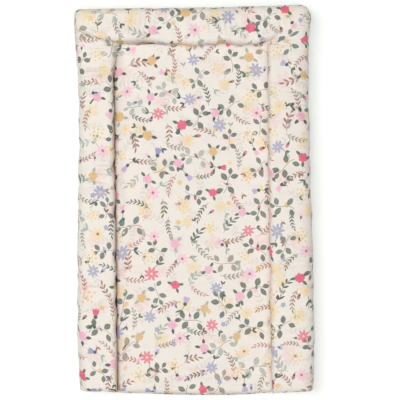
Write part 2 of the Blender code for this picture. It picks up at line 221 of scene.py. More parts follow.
# The lines of the cover's grid, across (columns) and along (rows) the mat
def coverLines():
    s, c = matShape, printedCover
    w, l, land = s["width"] / 2, s["length"] / 2, s["seamLand"]
    sideWidth, headWidth = w - s["sideSeam"] - land / 2, l - s["headSeam"] - land / 2
    x, z, outer, onLand, arc = evenly(*section(sideWidth, w, s["rollBoxiness"]), sideWidth + land / 2,
                                      c["weave"], c["nearSeam"])
    before = arc[onLand].min() - arc  # how far along the cloth before its stitches
    inner = w - x
    crown, flat = np.interp([35 * mm, 125 * mm], x[14:], arc[14:])
    evened = np.interp(arc, [crown, flat], [w - 35 * mm, w - 125 * mm])
    headX = np.where((arc > crown) & (arc < flat), evened, inner)
    lipX = np.where(arc <= crown, np.interp(arc, [0, crown], [w - s["edgeTuck"], w - 35 * mm]), headX)
    half = dict(place=inner, head=headX, lip=lipX, body=z, outer=outer, land=onLand, before=before)
    columns = {k: np.concatenate([v[:-1], v[::-1]]) for k, v in half.items()}
    for k in ("place", "head", "lip"):
        columns[k][: len(x) - 1] *= -1

    middle = 50 * mm
    y, z, outer, onLand, headArc = evenly(*section(headWidth, l - middle, s["headBoxiness"]),
                                          headWidth + land / 2, c["weave"], c["nearSeam"])
    swing = np.linspace(0, np.pi / 2, 300)
    inset = s["footRound"] * (1 - np.cos(swing) ** s["footBoxiness"])
    rise = (s["rollHeight"] - s["lipHeight"]) * np.sin(swing) ** s["footBoxiness"]
    arc = np.concatenate([[0], np.cumsum(np.hypot(np.diff(inset), np.diff(rise)))])
    end = np.interp(np.linspace(0, arc[-1], int(arc[-1] / c["footWeave"]) + 1), arc, inset)
    start = s["lipWidth"] + s["footRound"]
    count = int(round((l + middle - start) / c["weave"]))
    low = np.concatenate([[-l, s["lipWidth"] / 2 - l], s["lipWidth"] - l + end,
                          np.linspace(start - l, middle, count + 1)[1:-1]])
    crown, flat = np.interp([35 * mm, 125 * mm], y[14:], headArc[14:])
    evened = np.interp(headArc, [crown, flat], [l - 35 * mm, l - 125 * mm])
    sideY = np.where((headArc > crown) & (headArc < flat), evened, l - y)
    full = np.full(len(low), s["padHeight"])
    rows = dict(
        place=np.concatenate([low, (l - y)[::-1]]),
        side=np.concatenate([low, sideY[::-1]]),
        body=np.concatenate([full, z[::-1]]),
        outer=np.concatenate([np.full(len(low), s["rollHeight"]), outer[::-1]]),
        land=np.concatenate([np.zeros(len(low), bool), onLand[::-1]]),
        before=np.concatenate([np.full(len(low), -1.0), (headArc[onLand].min() - headArc)[::-1]]),
    )
    rows["share"] = footShare(rows["place"] - (s["lipWidth"] - l))
    return columns, rows


# Where the seams' valleys run out, and where along the cloth the rolls and the pad lean over them
seamFolds = dict(
    evened=60 * mm,  # how far from a seam the grid's lines have evened out
    sideEnd=(298 * mm, 324 * mm),  # a side seam's valley runs out from the first to the second
    headEnd=(148 * mm, 174 * mm),
    belly=(30 * mm, 40 * mm, 46 * mm, 92 * mm),  # a roll's lean starts, is full, fades and ends
    edge=(8 * mm, 26 * mm, 34 * mm, 90 * mm),  # and the pad's
    waver=0.4,  # how uneven the side seams are beside the head seam
    pillow=(43 * mm, 8 * mm),  # middle and width of the swelling beside the left seam
    headEased=0.21,  # the head seam's left end dips this share as fast
    dip=(10 * mm, 30 * mm),
    corner=(52 * mm, 37 * mm, 19 * mm),  # heights where seams meet, and how far they reach
)


# Where every point of the cover's grid lies before the cloth is let go
def coverPlaces(columns, rows):
    s, f = matShape, seamFolds
    col = {k: v[None, :] for k, v in columns.items()}
    row = {k: v[:, None] for k, v in rows.items()}
    pastSide = smooth(0, f["evened"], col["before"])
    pastHead = smooth(0, f["evened"], row["before"])
    nearLip = smooth(0.9, 0.25, row["share"])
    x = col["place"] + (col["head"] - col["place"]) * pastHead
    x = x + (col["lip"] - x) * nearLip
    y = row["place"] + (row["side"] - row["place"]) * pastSide
    isRoll, inHead = col["before"] > 1e-6, row["before"] > 1e-6
    endSide = smooth(*f["sideEnd"], y)
    endHead = smooth(*f["headEnd"], np.abs(x))
    sideZ = col["body"] + (col["outer"] - col["body"]) * endSide
    headZ = row["body"] + (row["outer"] - row["body"]) * endHead
    padZ = np.minimum(col["body"], row["body"])
    z = np.where(isRoll, np.where(inHead, np.minimum(sideZ, headZ), sideZ + 0 * row["body"]),
                 np.where(inHead, headZ + 0 * col["body"], padZ))
    besideCorner = np.abs(x) - s["sideSeam"]
    along = np.where((x < 0) & (besideCorner < 0), besideCorner * f["headEased"], besideCorner)
    eased = np.hypot(along, y - s["headSeam"])
    dips = smooth(*f["dip"], eased)
    within = lambda a, b, c, d, value: smooth(a, b, value) * smooth(d, c, value)
    uneven = lambda along: 1.1 * np.sin(along / (13 * mm)) + 0.9 * np.sin(along / (7.3 * mm) + 1.7)
    leanX = np.where(x < 0, through(seamLean["left"], y / mm), -through(seamLean["right"], y / mm))
    leanX = (leanX + f["waver"] * uneven(y)) * within(*f["belly"], col["before"]) * (1 - endSide)
    leanY = through(seamLean["head"], x / mm) + uneven(x)
    leanY = leanY * within(*f["belly"], row["before"]) * (1 - endHead) * dips
    overSide, overHead = [s["padLean"] / mm * within(*f["edge"], -line["before"]) for line in (col, row)]
    leanX = leanX - np.sign(-x) * overSide * (1 - endSide)
    leanY = leanY - overHead * (1 - endHead) * dips
    middle, width = f["pillow"]
    pillow = np.exp(-((col["before"] + middle) / width) ** 2) * (x < 0) * (1 - endSide)
    z = z + s["padPillow"] * pillow * smooth(-20 * mm, -60 * mm, row["before"])
    x, y = x + leanX * mm, y - leanY * mm
    cornerAway = np.hypot(np.abs(x) - s["sideSeam"], y - s["headSeam"])
    high, low, width = f["corner"]
    z = np.maximum(z, high * np.exp(-((cornerAway / width) ** 3)))
    z = np.maximum(z, low * np.exp(-((eased / width) ** 3)))
    z = s["lipHeight"] + (z - s["lipHeight"]) * row["share"]
    x, y = onOutline(x + 0 * y, y + 0 * x)
    return np.stack([x, y, z], axis=-1), cornerAway, eased


# Rounds the grid a little, as cloth does, without moving the points that are sewn
def rounded(places, sewn, times):
    for _ in range(times):
        middle = places.copy()
        middle[1:-1, 1:-1] = (places[:-2, 1:-1] + places[2:, 1:-1]
                              + places[1:-1, :-2] + places[1:-1, 2:]) / 4
        places = np.where(sewn[..., None], places, (places + middle) / 2)
    return places


# A new mesh object with one face for each cell of a grid of places, facing up
def gridPiece(name, places):
    tall, wide = places.shape[:2]
    number = np.arange(tall * wide).reshape(tall, wide)
    faces = np.stack([number[:-1, :-1], number[:-1, 1:], number[1:, 1:], number[1:, :-1]], -1)
    mesh = bpy.data.meshes.new(name)
    mesh.from_pydata(places.reshape(-1, 3).tolist(), [], faces.reshape(-1, 4).tolist())
    piece = bpy.data.objects.new(name, mesh)
    bpy.context.scene.collection.objects.link(piece)
    return piece


def applyAll(piece):
    bpy.ops.object.select_all(action="DESELECT")
    piece.select_set(True)
    bpy.context.view_layer.objects.active = piece
    for modifier in list(piece.modifiers):
        bpy.ops.object.modifier_apply(modifier=modifier.name)


# Lets the cover's cloth settle: it is held at its stitches and puffed out over the fillings
def settled(places, sewn):
    c = printedCover
    piece = gridPiece("settlingCover", places)
    grip = piece.vertex_groups.new(name="sewn")
    slack = piece.vertex_groups.new(name="slack")
    flat = sewn.ravel()
    grip.add([int(i) for i in np.flatnonzero(flat)], 1.0, "REPLACE")
    grip.add([int(i) for i in np.flatnonzero(~flat)], c["hold"], "REPLACE")
    slack.add([int(i) for i in np.flatnonzero(~flat)], 1.0, "REPLACE")
    cloth = piece.modifiers.new("Cloth", "CLOTH")
    s = cloth.settings
    s.quality = 4
    s.mass = 0.25
    s.tension_stiffness = s.compression_stiffness = c["stretch"]
    s.shear_stiffness = c["stretch"] / 2
    s.bending_stiffness = c["bending"]
    s.air_damping = 4
    s.use_pressure = True
    s.uniform_pressure_force = c["pressure"]
    s.shrink_min = s.shrink_max = c["ease"]
    s.vertex_group_mass = "sewn"
    s.pin_stiffness = 1.0
    s.effector_weights.gravity = 0
    cloth.collision_settings.use_collision = False
    cloth.point_cache.frame_start, cloth.point_cache.frame_end = 1, c["frames"]
    for number in range(1, c["frames"] + 1):
        bpy.context.scene.frame_set(number)
    applyAll(piece)
    found = np.zeros(len(piece.data.vertices) * 3)
    piece.data.vertices.foreach_get("co", found)
    bpy.data.objects.remove(piece)
    bpy.context.scene.frame_set(1)
    moved = found.reshape(places.shape) - places
    far = np.linalg.norm(moved, axis=-1, keepdims=True)
    print("cover settled: mean move", round(float(far.mean()) / mm, 2), "mm, most",
          round(float(far.max()) / mm, 2), "mm")
    return places + moved * np.minimum(1, c["mostMoved"] / np.maximum(far, 1e-9))


# Presses long creases into the settled cloth, each with a low ridge beside it
def creased(places):
    places = places.copy()
    for crease in longCreases:
        line = np.array(crease["line"], float) * mm
        near = np.full(places.shape[:2], np.inf)
        along = np.zeros(places.shape[:2])
        for number, (start, end) in enumerate(zip(line[:-1], line[1:])):
            step = end - start
            offset = places[..., :2] - start
            t = np.clip((offset @ step) / (step @ step), 0, 1)
            away = offset - t[..., None] * step
            side = np.sign(step[0] * away[..., 1] - step[1] * away[..., 0])
            far = np.hypot(away[..., 0], away[..., 1])
            closer = far < np.abs(near)
            near = np.where(closer, np.where(side == 0, 1, side) * far, near)
            along = np.where(closer, (number + t) / (len(line) - 1), along)
        width = crease["width"] * mm
        fade = np.clip(np.sin(np.pi * np.clip(along, 0, 1)), 0, 1) ** 0.5
        dip = -np.exp(-((near / width) ** 2)) + 0.55 * np.exp(-((near / width - 1.9) ** 2))
        places[..., 2] += crease["depth"] * mm * fade * dip
    return places


# Cloth coordinates in metres. The pad's panel and the band round it meet in the stitched valleys.
def clothCoordinates(places, columns, rows):
    across = np.linalg.norm(np.diff(places, axis=1), axis=-1)
    along = np.linalg.norm(np.diff(places, axis=0), axis=-1)
    tall, wide = places.shape[:2]
    middle = wide // 2
    u = np.concatenate([np.zeros((tall, 1)), np.cumsum(across, axis=1)], axis=1)
    fromMiddle = u - u[:, middle:middle + 1]
    v = np.concatenate([np.zeros((1, wide)), np.cumsum(along, axis=0)], axis=0)
    headRow = int(np.flatnonzero(rows["land"]).max())
    crownColumn = int(np.abs(columns["place"] - matShape["width"] / 2 + 30 * mm).argmin())
    reference = headRow + 14
    rightEnd, leftEnd = fromMiddle[reference, -1], fromMiddle[reference, 0]
    outerU = np.where(np.arange(wide)[None, :] < middle, leftEnd + u, rightEnd - (u[:, -1:] - u))
    blendRows = smooth(headRow - 2, headRow + 12, np.arange(tall))[:, None]
    bandU = outerU + (fromMiddle - outerU) * blendRows
    total = v[-1, crownColumn]
    fromHead = total - (v[-1:, :] - v)
    isRoll = (columns["before"] > 1e-6)[None, :]
    early = smooth(100 * mm, 296 * mm, rows["place"])[:, None]
    outside = (columns["before"] >= columns["before"][crownColumn])[None, :]
    bandV = np.where(isRoll, v + (fromHead - v) * np.where(outside, early, blendRows), fromHead)
    return np.stack([fromMiddle, v], -1), np.stack([bandU, bandV], -1), headRow


columns, rows = coverLines()
plainCover, cornerAway, eased = coverPlaces(columns, rows)
onStitches = columns["land"][None, :] & (rows["before"] < -1e-6)[:, None]
onStitches |= rows["land"][:, None] & (columns["before"] < 1e-6)[None, :]
sewn = onStitches & (cornerAway > 25 * mm)
sewn |= (rows["share"] < 0.02)[:, None] & (columns["place"] < 1)[None, :]
sewn[:, [0, -1]] = sewn[-1, :] = True
plainCover = rounded(plainCover, sewn, 1)
cover = creased(settled(plainCover, sewn))
top = gridPiece("printed_cover", cover)
padMap, bandMap, headRow = clothCoordinates(plainCover, columns, rows)
padColumns = np.flatnonzero(columns["before"] <= 1e-6)
uvMap = top.data.uv_layers.new(name="cloth")
corners = np.zeros(len(top.data.loops), int)
top.data.loops.foreach_get("vertex_index", corners)
wide = cover.shape[1]
faceOf = np.repeat(np.arange(len(top.data.polygons)), 4)
faceRow, faceColumn = faceOf // (wide - 1), faceOf % (wide - 1)
landColumns = np.flatnonzero(columns["land"])
onPad = (faceColumn >= landColumns[1]) & (faceColumn < landColumns[-2]) & (faceRow < headRow)
chosen = np.where(onPad[:, None], padMap.reshape(-1, 2)[corners], bandMap.reshape(-1, 2)[corners])
uvMap.data.foreach_set("uv", chosen.astype(np.float32).ravel())

# How deep in a stitched crease each point lies, for painted shade: the cloth is painted warm brown there,
# standing in for the shade and bounced light in the folds
rollGap = lambda before: np.where(before > 0, before / (64 * mm), -before / (33 * mm))
sideGap = np.where(rows["before"][:, None] < 0, rollGap(columns["before"])[None, :], 9.0)
headGap = np.where(columns["before"][None, :] < 1e-6, rollGap(rows["before"])[:, None], 9.0)
creaseShadeAmount = smooth(0.95, 0.4, np.minimum(sideGap, headGap)) * smooth(0.2, 0.8, rows["share"])[:, None]
creaseShadeAmount *= smooth(12 * mm, 25 * mm, eased)
# Where the left seam's gap stands open, the painted shade reaches further and goes darker
openGapShade = smooth(285 * mm, 240 * mm, rows["place"])[:, None] * (columns["place"] < 0)[None, :]
creaseShadeAmount += openGapShade * smooth(0.95, 0.62, sideGap) * smooth(0.2, 0.8, rows["share"])[:, None]
inFold = top.data.attributes.new("inFold", "FLOAT", "POINT")
inFold.data.foreach_set("value", creaseShadeAmount.astype(np.float32).ravel())
print("cover grid", cover.shape, "land columns", landColumns, "head row", headRow)


# One changing value in a material's graph. Sums and products of it add Math nodes.
class Signal:
    def __init__(self, sheet, socket):
        self.sheet, self.socket = sheet, socket

    def maths(self, operation, *others):
        return self.sheet.maths(operation, self, *others)

    def __add__(self, other):
        return self.maths("ADD", other)

    def __radd__(self, other):
        return self.maths("ADD", other)

    def __sub__(self, other):
        return self.maths("SUBTRACT", other)

    def __rsub__(self, other):
        return self.sheet.maths("SUBTRACT", other, self)

    def __mul__(self, other):
        return self.maths("MULTIPLY", other)

    def __rmul__(self, other):
        return self.maths("MULTIPLY", other)

    def __truediv__(self, other):
        return self.maths("DIVIDE", other)

    def __mod__(self, other):
        return self.maths("FLOORED_MODULO", other)

    def __abs__(self):
        return self.maths("ABSOLUTE")


# A material and the nodes in it
class Finish:
    def __init__(self, name, **constants):
        self.material = bpy.data.materials.new(name)
        self.material.use_nodes = True
        self.tree = self.material.node_tree
        self.shader = self.tree.nodes["Principled BSDF"]
        for name, value in constants.items():
            self.shader.inputs[name.replace("_", " ")].default_value = value

    # Adds a node: its settings first, then the values or links of its sockets
    def add(self, kind, settings=None, sockets=None):
        node = self.tree.nodes.new(kind)
        for key, value in (settings or {}).items():
            if key == "stops":
                ramp = node.color_ramp
                for _ in range(len(value) - 2):
                    ramp.elements.new(0.5)
                for stop, (place, colour) in zip(ramp.elements, value):
                    stop.position, stop.color = place, colour
            elif key == "interpolation":
                node.color_ramp.interpolation = value
            else:
                setattr(node, key, value)
        for key, value in (sockets or {}).items():
            self.feed(node.inputs[key], value)
        return node

    def feed(self, socket, value):
        if isinstance(value, Signal):
            self.tree.links.new(value.socket, socket)
        elif isinstance(value, bpy.types.NodeSocket):
            self.tree.links.new(value, socket)
        else:
            socket.default_value = value

    def maths(self, operation, *values):
        node = self.add("ShaderNodeMath", {"operation": operation}, dict(enumerate(values)))
        return Signal(self, node.outputs[0])

    def mix(self, share, low, high):
        node = self.add("ShaderNodeMix", {"data_type": "RGBA"}, {0: share, 6: low, 7: high})
        return node.outputs[2]

    def limit(self, value, low=0.0, high=1.0):
        return self.maths("MINIMUM", self.maths("MAXIMUM", value, low), high)

    def length(self, x, y):
        return self.maths("SQRT", x * x + y * y)

    def noise(self, where, scale, detail=2.0, roughness=0.5):
        node = self.add("ShaderNodeTexNoise", {},
                        {"Vector": where, "Scale": scale, "Detail": detail, "Roughness": roughness})
        return Signal(self, node.outputs[0])

    # Where a point lies on its piece, in metres
    def place(self):
        return self.add("ShaderNodeTexCoord").outputs["Object"]

    def stretched(self, where, *scale):
        return self.add("ShaderNodeMapping", {}, {"Vector": where, "Scale": scale}).outputs[0]

    # The three numbers in a vector or a colour
    def parts(self, vector, kind="XYZ"):
        node = self.add("ShaderNodeSeparate" + kind, {}, {0: vector})
        return [Signal(self, part) for part in node.outputs[:3]]

    def bump(self, height, distance, strength=1.0, under=None):
        node = self.add("ShaderNodeBump", {},
                        {"Height": height, "Distance": distance, "Strength": strength})
        if under:
            self.feed(node.inputs["Normal"], under)
        return node.outputs[0]

    def give(self, **sockets):
        for name, value in sockets.items():
            self.feed(self.shader.inputs[name.replace("_", " ")], value)


# A colour as it is seen on a screen, 0 to 255, turned into what the shader takes
def seen(red, green, blue):
    values = [c / 255 for c in (red, green, blue)]
    return (*[v / 12.92 if v <= 0.04045 else ((v + 0.055) / 1.055) ** 2.4 for v in values], 1.0)


# Colours of the print, and its sizes in millimetres on the cloth
floralPrint = dict(
    ground=seen(241, 234, 225),
    forest=seen(76, 100, 88),
    pine=seen(58, 76, 68),
    sage=seen(172, 180, 167),
    stem=seen(148, 138, 122),
    bark=seen(162, 116, 100),
    clay=seen(190, 126, 114),
    rose=seen(222, 122, 142),
    magenta=seen(232, 84, 124),
    blush=seen(248, 197, 217),
    sky=seen(148, 160, 200),
    lilac=seen(194, 182, 214),
    mustard=seen(236, 199, 134),
    honey=seen(243, 221, 172),
    apricot=seen(246, 204, 164),
    petal=seen(247, 217, 213),
    mist=seen(218, 209, 198),
    spacing=72.0,
    turn=0.41,
    edge=0.5,  # softness of a printed edge
)


# Draws the print's shapes. Places are Signals in millimetres.
class Print:
    def __init__(self, sheet, u, v, mottle):
        self.s, self.u, self.v, self.mottle, self.p = sheet, u, v, mottle, floralPrint
        self.colour = floralPrint["ground"]

    # How much ink lies where a shape's inside distance is above nothing
    def ink(self, inside):
        return self.s.limit(inside * (1 / self.p["edge"]) + 0.5)

    # One place in each cell of a lattice, turned and shifted by chance
    def lattice(self, spacing, offset, jitter, seed, turn=None):
        s = self.s
        a = self.p["turn"] if turn is None else turn
        x = self.u * math.cos(a) + self.v * math.sin(a) + (offset[0] + 4000.0)
        y = self.v * math.cos(a) - self.u * math.sin(a) + (offset[1] + 4000.0)
        row = s.maths("FLOOR", y / spacing)
        x = x + (row % 2.0) * (spacing / 2)
        column = s.maths("FLOOR", x / spacing)
        cell = s.add("ShaderNodeCombineXYZ", {}, {0: column, 1: row, 2: float(seed)}).outputs[0]
        chance = s.add("ShaderNodeTexWhiteNoise", {"noise_dimensions": "3D"}, {"Vector": cell})
        first, second, third = s.parts(chance.outputs["Color"], "Color")
        x = x - (column + 0.5) * spacing - (first - 0.5) * (2 * jitter)
        y = y - (row + 0.5) * spacing - (second - 0.5) * (2 * jitter)
        angle = third * (2 * math.pi)
        cosine, sine = s.maths("COSINE", angle), s.maths("SINE", angle)
        size = 0.94 + 0.26 * s.maths("FRACT", third * 7.31)
        x, y = (x * cosine + y * sine) / size, (y * cosine - x * sine) / size
        return x, y, Signal(s, chance.outputs["Value"]), s.maths("FRACT", first * 9.7)

    def both(self, *shapes):
        shape = shapes[0]
        for other in shapes[1:]:
            shape = self.s.maths("MINIMUM", shape, other)
        return shape

    def either(self, *shapes):
        shape = shapes[0]
        for other in shapes[1:]:
            shape = self.s.maths("MAXIMUM", shape, other)
        return shape

    # Inside where a lattice's chance lies from one share to another
    def when(self, pick, low, high):
        return self.both(pick - low, high - pick) * 300.0

    def turned(self, x, y, angle):
        return (x * math.cos(angle) + y * math.sin(angle), y * math.cos(angle) - x * math.sin(angle))

    # Folds the plane into equal sectors round the middle, so one petal makes a flower
    def folded(self, x, y, count, start=0.0):
        s = self.s
        sector = 2 * math.pi / count
        angle = (s.maths("ARCTAN2", y, x) + (start + sector / 2)) % sector - sector / 2
        away = s.length(x, y)
        return away * s.maths("COSINE", angle), away * s.maths("SINE", angle)

    def leaf(self, x, y, start, length, width):
        t = (x - start) / length
        return t * (1.0 - t) * (4 * width) - abs(y)

    def line(self, y, x, start, end, width):
        return self.both(width - abs(y), x - start, end - x)

    def oval(self, x, y, middle, long, wide):
        a, b = (x - middle) / long, y / wide
        return (1.0 - (a * a + b * b)) * (min(long, wide) / 2)

    def disc(self, x, y, radius):
        return radius - self.s.length(x, y)

    # Lays ink of one colour over what is printed so far
    def lay(self, inside, colour, strength=None):
        amount = self.ink(inside)
        if strength is not None:
            amount = amount * strength
        self.colour = self.s.mix(amount, self.colour, colour)

    def picked(self, chance, *names):
        stops = [(i / len(names), self.p[name]) for i, name in enumerate(names)]
        return self.s.add("ShaderNodeValToRGB", {"interpolation": "CONSTANT", "stops": stops},
                          {0: chance}).outputs[0]

    # A stem with paired leaves, curved by bend
    def frond(self, x, y, bend, half, pitch, slant, length, width):
        y = y - x * x * bend + half * half * bend / 3
        within = (x + half) % pitch
        joint = x - within
        lx, ly = self.turned(within, abs(y), slant)
        leaves = self.leaf(lx, ly, 0.1, length, width) - self.s.maths("MAXIMUM", joint, 0.0) * 0.035
        leaves = self.both(leaves, joint + half + 0.1, half - 0.6 * pitch - joint)
        tip = self.leaf(x, y, half - 2.0, length, width)
        return self.either(leaves, tip), self.line(y, x, -half - 5.0, half, 0.42)


# Pale blossoms and twigs, as if washed out, under everything
def printWashed(d):
    gap = d.p["spacing"]
    x, y, pick, other = d.lattice(gap * 1.04, (11, 37), 15, 3, turn=1.1)
    px, py = d.folded(x, y, 5)
    d.lay(d.oval(px, py, 7.5, 7.5, 5.2), d.picked(other, "petal", "honey"), 0.35 + 0.5 * d.mottle)
    d.lay(d.both(0.5 - abs(py), 12.0 - px), d.p["mist"], 0.6)
    d.lay(d.disc(x, y, 2.0), d.p["honey"], 0.85)
    x, y, pick, other = d.lattice(gap * 0.83, (52, 9), 13, 5, turn=0.2)
    leaves, stem = d.frond(x, y, 0.012, 15.0, 8.2, 0.8, 9.5, 1.5)
    d.lay(d.either(leaves, stem), d.p["mist"], 0.5 + 0.4 * d.mottle)


# Small things between the rest: a bud, a pair of leaves, a tiny flower or nothing
def printFillers(d):
    gap = d.p["spacing"]
    x, y, pick, other = d.lattice(gap / 2, (gap / 4, gap / 4), 4, 67)
    lx, ly = d.turned(x + 4.0, abs(y), 0.55)
    pair = d.either(d.leaf(lx, ly, 0.0, 9.0, 1.8), d.line(y, x, -8.0, 0.0, 0.4))
    d.lay(d.both(pair, d.when(pick, -1, 0.26)), d.picked(other, "sage", "forest", "pine", "bark"))
    bud = d.either(d.disc(x - 1.0, y, 3.3), d.oval(x, y, 3.0, 3.0, 2.4))
    calyx = d.either(d.oval(x, y, -2.8, 2.8, 2.2), d.line(y, x, -9.0, -2.0, 0.45))
    isBud = d.when(pick, 0.26, 0.5)
    d.lay(d.both(bud, isBud), d.picked(other, "rose", "clay", "blush", "lilac"))
    d.lay(d.both(calyx, isBud), d.picked(other, "pine", "forest"))
    px, py = d.folded(x, y, 5)
    isTiny = d.when(pick, 0.5, 0.76)
    d.lay(d.both(d.oval(px, py, 2.7, 2.5, 1.8), isTiny),
          d.picked(other, "honey", "mustard", "lilac", "apricot", "sky"), 0.9)
    d.lay(d.both(d.disc(x, y, 1.1), isTiny), d.p["mustard"])


# Fern fronds with narrow paired leaves
def printFerns(d):
    gap = d.p["spacing"]
    x, y, pick, other = d.lattice(gap, (gap / 2, 0), 6, 11)
    leaves, stem = d.frond(x, y, 0.011, 17.0, 6.9, 0.66, 8.0, 1.25)
    d.lay(d.either(leaves, stem), d.picked(pick, "bark", "pine", "clay", "bark", "stem", "bark"))


# Twigs with a few broad toothed leaves, or a finer twig
def printTwigs(d):
    gap = d.p["spacing"]
    x, y, pick, other = d.lattice(gap, (0, gap / 2), 6, 29)
    broad = d.when(pick, -1, 0.66)
    sway = y - 2.2 * d.s.maths("SINE", x / 7.0)
    d.lay(d.both(d.line(sway, x, -19.0, 16.0, 0.5), broad), d.p["stem"])
    shape, veins = None, None
    for px, py, angle, length in ((-12, 1, 2.3, 14.5), (-5, -2, -1.9, 16), (4, 2, 1.15, 16.5),
                                  (11, 1, -0.95, 15), (14, 2, 0.35, 13)):
        lx, ly = d.turned(x - px, y - py, angle)
        toothed = d.leaf(lx, ly, 0.8, length, 0.31 * length) - 0.5 * abs(d.s.maths("SINE", lx * 1.7))
        ribs = d.either(0.3 - abs(ly), 0.3 - abs((lx - 0.8 * abs(ly)) % 3.2 - 1.6))
        ribs = d.both(ribs, toothed - 0.4)
        shape = toothed if shape is None else d.either(shape, toothed)
        veins = ribs if veins is None else d.either(veins, ribs)
    d.lay(d.both(shape, broad), d.picked(other, "forest", "sage", "pine", "stem", "pine"),
          0.84 + 0.16 * d.mottle)
    d.lay(d.both(veins, broad), d.p["mist"], 0.3)
    leaves, stem = d.frond(x, y, -0.014, 14.0, 9.4, 0.74, 11.0, 2.0)
    d.lay(d.both(d.either(leaves, stem), -1.0 * broad), d.picked(other, "sage", "bark", "forest"))


# Daisies on a bent stem, or bell flowers on a stalk
def printDaisies(d):
    gap = d.p["spacing"]
    x, y, pick, other = d.lattice(gap, (0, 0), 6, 23)
    daisy = d.when(pick, -1, 0.6)
    sway = y + (x - 4.0) * (x - 4.0) * 0.012
    stem = d.line(sway, x, 8.0, 33.0, 0.5)
    lx, ly = d.turned(x - 19.0, abs(sway), 0.7)
    d.lay(d.either(stem, d.leaf(lx, ly, 0.0, 10.5, 2.2)), d.picked(other, "forest", "pine", "sage"))
    px, py = d.folded(x, y, 8)
    petal = d.either(d.oval(px, py, 7.4, 5.2, 2.3), d.disc(x, y, 5.2))
    d.lay(d.both(petal, daisy), d.picked(other, "magenta", "sky", "honey", "sky", "honey", "blush"),
          0.8 + 0.2 * d.mottle)
    d.lay(d.both(0.4 - abs(py), 10.5 - px, px - 3.0, daisy), d.p["petal"], 0.55)
    eye = d.picked(other, "honey", "mustard", "apricot", "honey", "bark")
    d.lay(d.both(d.disc(x, y, 2.5), daisy), eye)
    px, py = d.turned(6.0 - x, abs(y), 0.36)
    bell = d.either(d.oval(px, py, 6.6, 6.6, 2.5), d.oval(6.0 - x, y, 6.4, 6.6, 3.0))
    rim = d.both(bell, 0.45 - abs(py + 1.5), px - 3.0)
    isBell = -1.0 * daisy
    d.lay(d.both(bell, isBell), d.picked(other, "blush", "lilac", "magenta", "blush", "sky"))
    d.lay(d.both(rim, isBell), d.p["rose"], 0.45)
    d.lay(d.both(d.either(d.oval(x, y, 7.0, 3.2, 3.4), d.disc(x - 9.0, y, 1.6)), isBell), d.p["pine"])


# Ruffled round flowers with three leaves, or clusters of berries
def printRuffles(d):
    gap = d.p["spacing"]
    x, y, pick, other = d.lattice(gap, (gap / 2, gap / 2), 6, 37)
    ruffle = d.when(pick, -1, 0.52)
    leaves = None
    for angle in (0.5, 2.75, 4.1):
        lx, ly = d.turned(x, y, angle)
        one = d.leaf(lx, ly, 6.0, 11.5, 2.7)
        leaves = one if leaves is None else d.either(leaves, one)
    d.lay(d.both(leaves, ruffle), d.picked(other, "forest", "pine", "forest", "sage"))
    px, py = d.folded(x, y, 7)
    away = d.s.length(x, y)
    d.lay(d.both(d.either(d.oval(px, py, 5.6, 3.6, 3.0), d.disc(x, y, 5.6)), ruffle),
          d.picked(other, "magenta", "blush", "mustard", "blush", "mustard"), 0.88 + 0.12 * d.mottle)
    wave = d.s.maths("SINE", d.s.maths("ARCTAN2", y, x) * 3.0 + away * 0.5)
    ring = d.both(0.5 - abs((away + 0.8 * wave) % 3.0 - 1.5), 7.4 - away)
    d.lay(d.both(ring, ruffle), d.picked(other, "magenta", "rose", "clay", "rose", "bark"), 0.6)
    berries = -1.0 * ruffle
    px, py = d.folded(x, y, 5)
    near = d.s.length(px - 7.2, py)
    shiftX, shiftY = d.turned(px, py, 0.5)
    far = d.s.length(shiftX - 13.0, shiftY)
    dots = d.either(2.7 - near, 2.3 - far, 2.6 - away)
    d.lay(d.both(dots, berries), d.picked(other, "honey", "honey", "apricot"))
    d.lay(d.both(dots - 1.3, berries), d.p["mustard"], 0.8)


# The scattered flowers and leaves on the cover
def printFlowers(s, u, v, mottle):
    d = Print(s, u, v, mottle)
    for layer in (printWashed, printFillers, printFerns, printTwigs, printDaisies, printRuffles):
        layer(d)
    return d.colour


# Groups of fine wrinkles: middle, direction, half length and width of the patch, spacing, in mm
fineWrinkles = [
    dict(middle=(-197, 236), turn=0.17, long=40, wide=50, pitch=7.5),
    dict(middle=(-190, 60), turn=-0.12, long=38, wide=70, pitch=11.0),
    dict(middle=(-196, -210), turn=0.1, long=36, wide=60, pitch=12.0),
    dict(middle=(210, 205), turn=-0.06, long=32, wide=84, pitch=9.0),
    dict(middle=(206, -110), turn=0.08, long=34, wide=90, pitch=12.0),
    dict(middle=(176, 312), turn=0.12, long=24, wide=20, pitch=6.5),
    dict(middle=(-192, 334), turn=-0.32, long=48, wide=18, pitch=7.0),
    dict(middle=(-110, 346), turn=1.45, long=26, wide=44, pitch=10.0),
    dict(middle=(60, 350), turn=1.65, long=24, wide=60, pitch=12.0),
    dict(middle=(0, -368), turn=0.02, long=150, wide=16, pitch=9.0),
]


# Sharp creases: both ends, half width in mm, and depth beside the fine wrinkles'
sharpCreases = [
    dict(start=(-162, 317), end=(-228, 340), width=1.7, depth=1.0),
    dict(start=(-118, 316), end=(-164, 318), width=1.3, depth=0.5),
    dict(start=(-170, 330), end=(-222, 352), width=2.2, depth=0.5),
    dict(start=(-168, 268), end=(-226, 254), width=1.8, depth=0.6),
    dict(start=(-172, 252), end=(-222, 246), width=1.6, depth=0.5),
    dict(start=(-166, 236), end=(-228, 224), width=2.0, depth=0.55),
]


